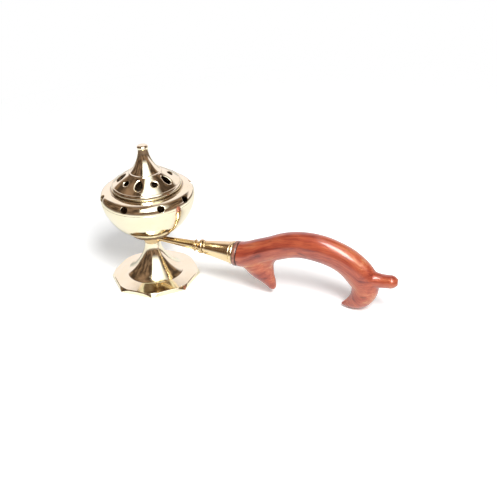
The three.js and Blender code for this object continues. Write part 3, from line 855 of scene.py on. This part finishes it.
# %% Clamp screw and washer
WASHER_RADIUS = 7.2
SCREW_RADIUS = 2.4
HEAD_RADIUS = 4.8
SLOT_SIZE = (14, 1.2)
SLOT_DEPTH = 1.1
HALF_DIAGONAL = math.sqrt(0.5)

washer_line = outline(
    (BORE_RADIUS, bowl_floor, 0), (WASHER_RADIUS, bowl_floor, 0.1), (WASHER_RADIUS, washer_top, 0.2),
    (BORE_RADIUS, washer_top, 0.2))
piece("washer_turned", turned("washer", washer_line), clamp_steel, "screw_steel", "clamp_washer")

head = bezier(
    (HEAD_RADIUS, washer_top + 0.4), (HEAD_RADIUS, washer_top + 1.8), (3.4, screw_top), (0, screw_top))
screw_line = outline(
    (0, screw_end, 0), (SCREW_RADIUS, screw_end, 0.3), (SCREW_RADIUS, washer_top, 0),
    (HEAD_RADIUS, washer_top, 0.15), head, closed=False)
low, high = screw_top - SLOT_DEPTH, screw_top + 1
slot_line = np.array([[0, low], [HALF_DIAGONAL, low], [HALF_DIAGONAL, high], [0, high]])
slot = mesh_of("slot", [lathe(slot_line, np.arange(1, 8, 2) * math.pi / 4) * (*SLOT_SIZE, 1)])
screw_mesh = combined(turned("screw", screw_line, closed=False), slot, "DIFFERENCE")
piece("screw_slotted", screw_mesh, clamp_steel, "screw_steel", "clamp_screw")

# %% [markdown]
# The handle's turned pieces have their own axis, which leaves the shank's eye and falls by 2.5
# degrees. They are turned upright like the vessel's pieces and then laid on that axis.

# %% Shank, ferrule and collar
ROD_END = 38.0
BEAD_START = 42.2
FERRULE_START = 46.1
FERRULE_END = FERRULE_START + 26.3
COLLAR_START = FERRULE_END + 0.3
COLLAR_END = COLLAR_START + 3.3
GRIP_START = COLLAR_END + 0.3
EYE_RADIUS = 6.8
EYE_HEIGHT = 6.0
SOCKET_RADIUS = 7.1
SOCKET_START = FERRULE_START + 6
TANG_RADIUS = 2.2
TANG_END = GRIP_START + 26
COLLAR_EDGE = 9.6
COLLAR_BULGE = 10.35
COLLAR_SHADE_GAIN = 1.6
COLLAR_SHADE_HELD_BACK = 0.5
lay_down = np.array([
    [-math.sin(HANDLE_DROP), 0, math.cos(HANDLE_DROP)],
    [0, 1, 0],
    [-math.cos(HANDLE_DROP), 0, -math.sin(HANDLE_DROP)]])


def on_handle(points):
    """Points turned upright about Z, laid on the handle's axis."""
    return points @ lay_down.T + handle_start


rod_line = outline(
    (0, 4.4, 0), (2.5, 4.4, 0), bezier((3.0, 6.2), (2.2, 7.4), (2.3, 9.5), (2.42, 12.0), steps=10),
    (3.72, ROD_END - 0.7, 0.3), (4.3, ROD_END - 0.2, 0.3), (4.8, ROD_END + 0.4, 0.4),
    (4.8, ROD_END + 1.1, 0.4), (3.6, ROD_END + 1.7, 0.4), (3.7, BEAD_START - 0.6, 0.8),
    bezier(
        (4.6, BEAD_START - 0.05), (6.1, BEAD_START + 0.2), (6.1, BEAD_START + 3.3),
        (5.0, BEAD_START + 3.58), steps=14),
    (TANG_RADIUS, BEAD_START + 3.6, 0.1), (TANG_RADIUS, TANG_END, 0.3), (0, TANG_END, 0), closed=False)
eye_line = outline(
    (BORE_RADIUS, neck_height, 0.2), (EYE_RADIUS, neck_height, 0.5),
    (EYE_RADIUS, neck_height + EYE_HEIGHT, 0.5), (BORE_RADIUS, neck_height + EYE_HEIGHT, 0.2))
rod_mesh = mesh_of("rod", [on_handle(lathe(rod_line, ROUND[::3]))])
shank_mesh = combined(turned("eye", eye_line), rod_mesh, "UNION")
piece("shank_turned", shank_mesh, rod_brass_with_painted_shade, "handle_brass", "shank")

ferrule_line = outline(
    (2.6, FERRULE_START, 0.1), (5.2, FERRULE_START, 0.3), (5.45, FERRULE_START + 1.5, 0.2),
    (5.2, FERRULE_START + 1.8, 0.15), (5.5, FERRULE_START + 2.1, 0.2),
    (8.6, FERRULE_END - 3.5, 0.3), (8.45, FERRULE_END - 3.1, 0.1),
    bezier(
        (8.7, FERRULE_END - 2.9), (9.5, FERRULE_END - 2.7), (9.5, FERRULE_END - 0.3),
        (8.7, FERRULE_END), steps=14),
    (SOCKET_RADIUS, FERRULE_END, 0.1), (4.5, SOCKET_START, 0), (2.6, SOCKET_START, 0))
ferrule_mesh = mesh_of("ferrule", [on_handle(lathe(ferrule_line, ROUND[::2]))], close_rows=True)
piece("ferrule_turned", ferrule_mesh, handle_brass, "handle_brass", "ferrule")

bulge = bezier(
    (COLLAR_EDGE, COLLAR_START), (COLLAR_BULGE, COLLAR_START), (COLLAR_BULGE, COLLAR_END),
    (COLLAR_EDGE, COLLAR_END), steps=16)
collar_line = outline(
    (SOCKET_RADIUS, COLLAR_START, 0.1), (COLLAR_EDGE, COLLAR_START, 0), bulge,
    (SOCKET_RADIUS, COLLAR_END, 0.1))


def add_turned_grain_and_painted_light(mesh):
    """Grain is the place itself. Edge is the distance from the crest's middle as a share of half the
    collar's width, eased. Both edges therefore get painted shade, and the crest stays lighter as a painted
    highlight."""
    places = places_of(mesh)
    along = (places / MM - [axis_x, 0, 0] - handle_start) @ handle_axis
    middle = (COLLAR_START + COLLAR_END) / 2
    edge = np.abs(along - middle) / (COLLAR_END - COLLAR_START) * 2
    # Painted shade at both edges of the collar, and a painted highlight at its crest.
    write_on(mesh, "edge", np.clip(edge * COLLAR_SHADE_GAIN - COLLAR_SHADE_HELD_BACK, 0, 1))
    return write_on(mesh, "grain", places)


collar_mesh = mesh_of("collar", [on_handle(lathe(collar_line, ROUND[::2]))], close_rows=True)
piece("collar_turned", add_turned_grain_and_painted_light(collar_mesh), collar_wood, "collar_wood", "collar")

# %% [markdown]
# The grip is carved by hand from one block: an arch for the palm, a spur in front of the fingers,
# a hook behind them, and a knob at the tail. Each limb is an oval section carried along a smooth
# spine through a few stations. A fourth, the web, fills the corner between arch and spur, where
# the wood is left thick. A carver leaves no seams where limbs meet, so all are fused by a fine
# voxel remesh, and the hollows between them are then smoothed until they flow.

# %% Grip: the limbs
GRIP_LENGTH = 127.2
GRIP_RADIUS = 9.6
HOOK_CLEARANCE = 0.8
HOOK_SHARE = 0.545
START_EASE = 8.0
grip_origin = on_handle(np.array([0, 0, GRIP_START]))
GRIP_HEIGHT = (grip_origin[2] - HOOK_CLEARANCE) / HOOK_SHARE
ARCH_SHARES = [
    (0, 0, 1.06, 1.06), (0.055, 0.013, 1.1, 1.02), (0.135, 0.087, 1.05, 0.97),
    (0.215, 0.155, 1.04, 0.94), (0.3, 0.229, 1.07, 0.94), (0.395, 0.275, 1.09, 0.94),
    (0.48, 0.275, 1.135, 0.94), (0.552, 0.251, 1.15, 0.94), (0.622, 0.205, 1.14, 0.94),
    (0.682, 0.143, 1.17, 0.94), (0.733, 0.058, 1.21, 0.92), (0.776, -0.043, 1.24, 0.88),
    (0.802, -0.161, 1.18, 0.84), (0.798, -0.283, 1.05, 0.78), (0.772, -0.387, 0.9, 0.7),
    (0.737, -0.451, 0.65, 0.56), (0.698, -0.491, 0.345, 0.34), (0.662, -0.518, 0.09, 0.11)]
SPUR_SHARES = [
    (0.104, -0.075, 1.17, 0.9), (0.141, -0.19, 0.96, 0.8), (0.177, -0.283, 0.7, 0.64),
    (0.201, -0.365, 0.5, 0.47), (0.213, -0.421, 0.36, 0.34), (0.219, -0.452, 0.25, 0.24),
    (0.222, -0.469, 0.12, 0.12)]
WEB_SHARES = [
    (0.285, 0.155, 0.5, 0.7), (0.236, 0.088, 0.5, 0.7), (0.202, 0.002, 0.51, 0.68),
    (0.185, -0.1, 0.52, 0.62), (0.19, -0.214, 0.47, 0.56), (0.199, -0.287, 0.4, 0.45)]
KNOB_SHARES = [
    (0.79, -0.085, 0.98, 0.74), (0.835, -0.081, 0.82, 0.68), (0.868, -0.077, 0.66, 0.63),
    (0.9, -0.075, 0.57, 0.59), (0.945, -0.069, 0.54, 0.56), (0.98, -0.065, 0.46, 0.48),
    (1.0, -0.063, 0.24, 0.25)]


def spline(knots, values, at):
    """A natural cubic spline: its bends at the knots solve one linear system, and each stretch is
    the straight line between knots plus the cubic that those bends give."""
    gap = np.diff(knots)[:, None]
    size = len(knots)
    system = np.eye(size)
    wanted = np.zeros((size, values.shape[1]))
    inner = np.arange(1, size - 1)
    system[inner, inner - 1] = gap[:-1, 0]
    system[inner, inner] = 2 * (gap[:-1, 0] + gap[1:, 0])
    system[inner, inner + 1] = gap[1:, 0]
    slope = np.diff(values, axis=0) / gap
    wanted[1:-1] = 6 * np.diff(slope, axis=0)
    bend = np.linalg.solve(system, wanted)
    part = np.clip(np.searchsorted(knots, at, side="right") - 1, 0, size - 2)
    width = gap[part]
    low = (knots[part + 1] - at)[:, None] / width
    high = 1 - low
    straight = low * values[part] + high * values[part + 1]
    cubic = (low**3 - low) * bend[part] + (high**3 - high) * bend[part + 1]
    return straight + cubic * width**2 / 6


def stations(shares):
    """Millimetre stations: along and up from the grip's start, half height, half thickness."""
    table = np.array(shares, float)
    return table * [GRIP_LENGTH, GRIP_HEIGHT, GRIP_RADIUS, GRIP_RADIUS]


def limb(shares, rows=110, ring=56, first=None):
    """An oval carried along the spine, square to it, with both ends closed at a point. First is the
    direction that the spine is made to start in."""
    table = stations(shares)
    knots = distance_along(table[:, :2])
    at = np.linspace(0, knots[-1], rows)
    line = spline(knots, table, at)
    slope = unit(np.gradient(line[:, :2], at, axis=0))
    if first is not None:
        ease = np.clip(1 - at / START_EASE, 0, 1)[:, None]
        slope = unit(slope * (1 - ease) + np.array(first) * ease)
    turn = np.arange(ring) * 2 * math.pi / ring
    high = line[:, 2:3] * np.cos(turn)
    side = line[:, 3:4] * np.sin(turn)
    centre = line[:, None, :2] + grip_origin[[0, 2]]
    x = centre[..., 0] - slope[:, 1:2] * high
    z = centre[..., 1] + slope[:, 0:1] * high
    body = np.stack([x, side, z], axis=-1)
    ends = [body[end].mean(axis=0) + np.zeros_like(body[end]) for end in (0, -1)]
    return np.concatenate([ends[:1], body, ends[1:]])


arch = limb(ARCH_SHARES, first=(handle_axis[0], handle_axis[2]))
limbs = [arch] + [limb(shares) for shares in (SPUR_SHARES, WEB_SHARES, KNOB_SHARES)]
print("arch rises to", round(float(arch[..., 2].max()), 1), "mm")

# %% Grip: fused, smoothed, and given its grain
FUSE_VOXEL = 0.45
TENON_RADIUS = 6.7
JOINS = [((0.135, -0.155), (17, 12, 12)), ((0.855, -0.08), (9, 12, 11))]
UPPER_STATIONS = 12
GRAIN_FOLLOWS = 0.88
JOIN_LIMIT = 1.6
SMOOTH_ALL = 5
SMOOTH_JOINS = 60
tenon_line = outline(
    (0, FERRULE_START + 6.3, 0), (4.0, FERRULE_START + 6.3, 0), (TENON_RADIUS, FERRULE_END, 0),
    (TENON_RADIUS, GRIP_START + 2, 0), (0, GRIP_START + 2, 0), closed=False)
tenon = on_handle(lathe(tenon_line, ROUND[::5]))


def near_joins(places):
    """How much each point is smoothed: fully round the middle of a join, less further out, and not
    at all from JOIN_LIMIT times its reach."""
    far = np.full(len(places), np.inf)
    for (along, up), reach in JOINS:
        middle = grip_origin + [along * GRIP_LENGTH + axis_x, 0, up * GRIP_HEIGHT]
        far = np.minimum(far, np.linalg.norm((places - middle) / reach, axis=1))
    return np.clip(JOIN_LIMIT - far, 0.0, 1.0)


def grip_mesh():
    """The limbs and the tenon as one skin, smoothed a little all over and then much at the joins."""
    fuse = ("REMESH", {"mode": "VOXEL", "voxel_size": FUSE_VOXEL * MM})
    soften = ("SMOOTH", {"factor": 0.5, "iterations": SMOOTH_ALL})
    flow = ("SMOOTH", {"factor": 0.5, "iterations": SMOOTH_JOINS, "vertex_group": "weights"})
    whole = mesh_of("limbs", limbs + [tenon], merge=0.00001)
    smoothed = applied(applied(whole, fuse), soften)
    return applied(smoothed, flow, weights=near_joins(places_of(smoothed) / MM))


def add_grain(mesh):
    """The grain runs almost with the arch: across it is the height, less most of the height that
    the arch's spine has there."""
    places = places_of(mesh)
    table = stations(ARCH_SHARES)[:UPPER_STATIONS]
    spine_x = (table[:, 0] + grip_origin[0] + axis_x) * MM
    spine_z = (table[:, 1] + grip_origin[2]) * MM
    bend = np.interp(places[:, 0], spine_x, spine_z)
    across = places[:, 2] - GRAIN_FOLLOWS * bend
    return write_on(mesh, "grain", np.column_stack([places[:, 0], across, places[:, 1]]))


piece("grip_carved", add_grain(grip_mesh()), grip_wood, "grip_wood", "grip", sharp_degrees=70)

# %% [markdown]
# The censer stands on a plain white table before a white backdrop, under one large soft lamp to
# the right, in front and high. Polished metal shows what stands round it, and the photograph's
# brass tells what that was: a wide white panel in front that leans over the top, a white backdrop
# behind, and a dim brown room on all other sides. So the world has three faces, told apart by the
# kind of ray: plain white for the camera, an even level for matt surfaces, and the room for
# mirrored rays. To the camera and to mirrors the table is a little paler than paint can be, so it
# is white without more light on the object, and it still takes the shadows.

# %% Table
CAMERA_TURN = math.radians(28.8)
TABLE_HALF = 4000
TABLE_DROP = 0.15
TABLE_WHITES = ((0.93, 0.93, 0.93), (0.95, 0.95, 0.95))
BEYOND_TABLE = (0.19, 0.13, 0.1)
TABLE_EDGE = (0.19, 0.36)
TABLE_FADE = (0.27, 0.55)
TABLE_LIFT = 0.38
TABLE_MIRRORED_LIFT = 0.08


def toward(turn, rise):
    """A direction: turn is measured from the camera's side to its right, rise is above level."""
    angle = CAMERA_TURN - math.pi / 2 + turn
    return Vector((
        math.cos(angle) * math.cos(rise), math.sin(angle) * math.cos(rise), math.sin(rise)))


def table_material():
    """Matt white with a very fine mottle. In mirrors it is a sheet that ends in front and beside.
    To the camera it fades into plain white past the object's shadows."""
    shader = Shader(bpy.data.materials.new("white table"))
    place = shader.add("ShaderNodeTexCoord", take="Object")
    seen, mirrored = shader.rays()
    from_axis = shader.vector("SUBTRACT", place, (axis_x * MM, 0, 0))
    far = shader.vector("LENGTH", from_axis, take="Value")
    ahead = shader.vector("DOT_PRODUCT", from_axis, tuple(toward(0, 0)), take="Value")
    beyond = far.over(*TABLE_EDGE) * (ahead + far * 0.8).over(0.0, 0.12) * mirrored
    white = shader.blend(shader.noise(place, 40.0, 2.0), *TABLE_WHITES)
    colour = shader.blend(beyond, white, BEYOND_TABLE)
    matt = shader.principled(Base_Color=colour, Roughness=0.9, Specular_IOR_Level=0.1)
    lift = seen * TABLE_LIFT + mirrored * (1 - beyond) * TABLE_MIRRORED_LIFT
    extra = shader.blend(lift, (0, 0, 0), (1, 1, 1))
    lifted = shader.add("ShaderNodeBsdfDiffuse", None, Color=extra)
    both = shader.add("ShaderNodeAddShader", None, matt, lifted)
    fade = shader.vector("LENGTH", place, take="Value").over(*TABLE_FADE) * seen
    plain_white = shader.add("ShaderNodeEmission")
    return shader.show(shader.add("ShaderNodeMixShader", None, fade, both, plain_white))


table_steps = np.linspace(-TABLE_HALF, TABLE_HALF, 9)
table_x, table_y = np.meshgrid(table_steps, table_steps)
table_grid = np.dstack([table_x, table_y, np.full_like(table_x, -TABLE_DROP)])
table_mesh = mesh_of("table", [table_grid], close_columns=False)
table_mesh.materials.append(table_material())
if table_mesh.polygons[0].normal.z < 0:
    table_mesh.flip_normals()
in_scene("table", table_mesh)

# %% World and lamp
LAMP_TURN = math.radians(17)
LAMP_RISE = math.radians(48)
LAMP_FAR = 1.2
LAMP_AIM = 0.05
LAMP_SIZE = (0.36, 0.6)
LAMP_RADIANCE = 18.0
ROOM_LEVEL = 0.46
ROOM_BROWNS = ((0.065, 0.041, 0.028), (0.33, 0.21, 0.145))
WALLS_LIT = (1.06, 0.96, 1.02)
PANEL_TURN = math.radians(10)
PANEL_RISE = math.radians(50)
PANEL_RADIANCE = 1.7
WINDOW_RADIANCE = 15.0

world = bpy.data.worlds.new("studio")
bpy.context.scene.world = world
shader = Shader(world)
direction = shader.add("ShaderNodeTexCoord", take="Generated")


def share_of(turn, rise):
    """How far the ray's direction goes along another direction."""
    return shader.vector("DOT_PRODUCT", direction, tuple(toward(turn, rise)), take="Value")


near = share_of(0, 0)
side = share_of(math.pi / 2, 0)
height = share_of(0, math.pi / 2)
facing = share_of(PANEL_TURN, PANEL_RISE)
panel_across = share_of(PANEL_TURN + math.pi / 2, 0) / facing
panel_up = share_of(PANEL_TURN, PANEL_RISE + math.pi / 2) / facing
left_edge = (panel_across - panel_up * 0.4).over(-0.52, -0.38)
right_edge = 1 - (panel_across + height * 0.35).over(0.5, 0.95)
low_edge = height.over(0.2, 0.48)
far_edge = 1 - (0 - near - height * 0.5).over(0.0, 0.2)
panel = left_edge * right_edge * low_edge * far_edge
window = shader.maths("ABSOLUTE", panel_across + 0.14).over(0.2, 0.12)
window = window * height.over(0.42, 0.54) * near.over(0.22, 0.42)

back_turn = shader.maths("ARCTAN2", side, 0 - near)
backdrop_top = back_turn.over(-0.95, -0.25) * 0.8 - back_turn.over(0.25, 0.6) * 0.26
backdrop_top = backdrop_top - back_turn.over(0.7, 1.75) * 0.4
backdrop = 1 - (height - backdrop_top).over(-0.1, 0.1)
backdrop = backdrop * (1 - back_turn.over(1.6, 1.9)) * back_turn.over(-1.1, -0.7)
patches = shader.noise(direction, 3.4, 4.0, 0.6)
room = shader.blend(patches.over(0.38, 0.66), *ROOM_BROWNS)
walls = shader.blend(backdrop, room, WALLS_LIT)
panelled = shader.blend(panel, walls, [PANEL_RADIANCE] * 3)
reflected = shader.blend(window, panelled, [WINDOW_RADIANCE] * 3)
seen, mirrored = shader.rays()
lit = shader.blend(mirrored, [ROOM_LEVEL] * 3, reflected)
shader.show(shader.add("ShaderNodeBackground", None, shader.blend(seen, lit, (1, 1, 1)), 1.0), "World")

lamp_data = bpy.data.lights.new("soft lamp", "AREA")
lamp_data.shape = "RECTANGLE"
lamp_data.size, lamp_data.size_y = LAMP_SIZE
lamp_data.energy = LAMP_RADIANCE * math.pi * LAMP_SIZE[0] * LAMP_SIZE[1]
lamp = in_scene("soft lamp", lamp_data)
lamp_from = toward(LAMP_TURN, LAMP_RISE)
lamp.location = Vector((axis_x * MM, 0, LAMP_AIM)) + LAMP_FAR * lamp_from
lamp.rotation_euler = lamp_from.to_track_quat("Z", "Y").to_euler()
lamp.visible_camera = False
lamp.visible_glossy = False
print("lamp", [round(value, 3) for value in lamp.location], round(lamp_data.energy, 2), "W")

# %% [markdown]
# The camera looks down at the censer from in front. Its place and turn were worked out from the
# rims, which are true circles, and from the corners of the foot.

# %% Camera
CAMERA_BACK = 0.62956
CAMERA_HEIGHT = 0.38821
CAMERA_YAW = math.radians(7.144)
CAMERA_DOWN = math.radians(30.556)
CAMERA_ROLL = math.radians(-2.62)
FOCAL_PIXELS = 875.0
FRAME_PIXELS = 500.0
SENSOR = 36.0

# The camera is made looking straight down, then rolled, raised and turned towards the vessel
aim = Matrix.Rotation(math.pi / 2 - CAMERA_DOWN, 4, "X") @ Matrix.Rotation(CAMERA_ROLL, 4, "Z")
turn_round = Matrix.Rotation(CAMERA_TURN, 4, "Z")
place = Matrix.Translation(Vector((0, -CAMERA_BACK, CAMERA_HEIGHT)))
camera_data = bpy.data.cameras.new("camera")
camera_data.sensor_width = SENSOR
camera_data.lens = FOCAL_PIXELS * SENSOR / FRAME_PIXELS
camera = in_scene("camera", camera_data)
camera.matrix_world = (
    Matrix.Translation((axis_x * MM, 0, 0)) @ turn_round @ place
    @ Matrix.Rotation(-CAMERA_YAW, 4, "Z") @ aim)
bpy.context.scene.camera = camera
bpy.context.scene.view_settings.view_transform = "Standard"
print("lens", round(camera_data.lens, 1), "mm")
